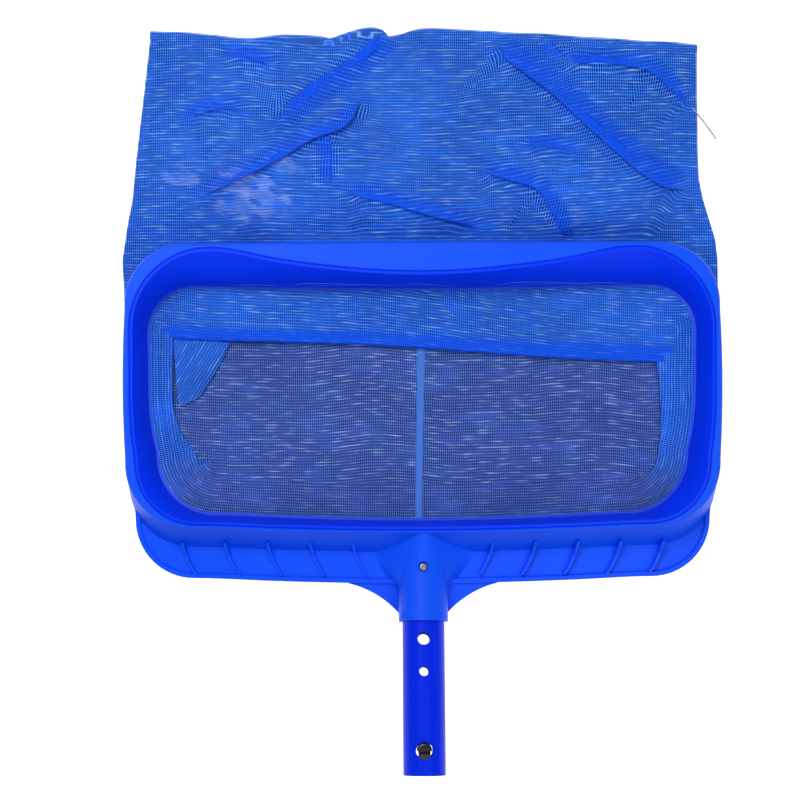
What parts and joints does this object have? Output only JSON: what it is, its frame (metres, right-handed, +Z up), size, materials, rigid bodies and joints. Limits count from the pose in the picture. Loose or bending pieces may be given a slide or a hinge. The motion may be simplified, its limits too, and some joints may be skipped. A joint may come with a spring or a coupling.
{
  "type": "leaf skimmer net",
  "caption": "Deep mesh bag on a rounded rectangular mouth frame with a scooping lip, a ribbed flange and a short handle tube that plugs into a telescopic pole.",
  "frame": {"origin": "under the middle of the object, on the floor that it lies on", "axes": "+Z up out of the mouth, +Y from the handle to the end of the bag, +X across the mouth to the right"},
  "size_m": [0.42, 0.5132, 0.0635],
  "materials": {
    "frame_plastic": "satin moulded polypropylene",
    "ring_plastic": "satin moulded polypropylene",
    "net_mesh": "fine polyester mesh",
    "seam_cloth": "folded and sewn mesh",
    "seam_tape": "woven tape with zigzag stitching",
    "hem_rope": "braided cord",
    "tube_paint": "gloss blue paint on drawn aluminium",
    "screw_steel": "bright plated steel",
    "clip_nylon": "black moulded nylon",
    "clear_line": "grey nylon monofilament"
  },
  "bodies": {
    "net_head": {"outer_frame": "frame_plastic", "retaining_ring": "ring_plastic", "net_front_panel": "net_mesh", "net_back_panel": "net_mesh", "left_side_seam": "seam_cloth", "right_side_seam": "seam_cloth", "end_seam": "seam_cloth", "hem_band": "seam_cloth", "centre_seam_tape": "seam_tape", "hem_cord": "hem_rope", "handle_tube": "tube_paint", "handle_screw": "screw_steel", "clip_bend": "clip_nylon", "loose_line": "clear_line"},
    "front_button_arm": {"clip_front_arm": "clip_nylon"},
    "back_button_arm": {"clip_back_arm": "clip_nylon"}
  },
  "joints": [
    {"name": "front_button_press", "type": "hinge", "parent": "net_head", "child": "front_button_arm", "pos_m": [0, -0.195, 0.04114], "axis": [1, 0, 0], "range_deg": [0, 6], "stiffness_Nm_per_rad": 2.5},
    {"name": "back_button_press", "type": "hinge", "parent": "net_head", "child": "back_button_arm", "pos_m": [0, -0.1967, 0.03312], "axis": [-1, 0, 0], "range_deg": [0, 6], "stiffness_Nm_per_rad": 2.5}
  ]
}
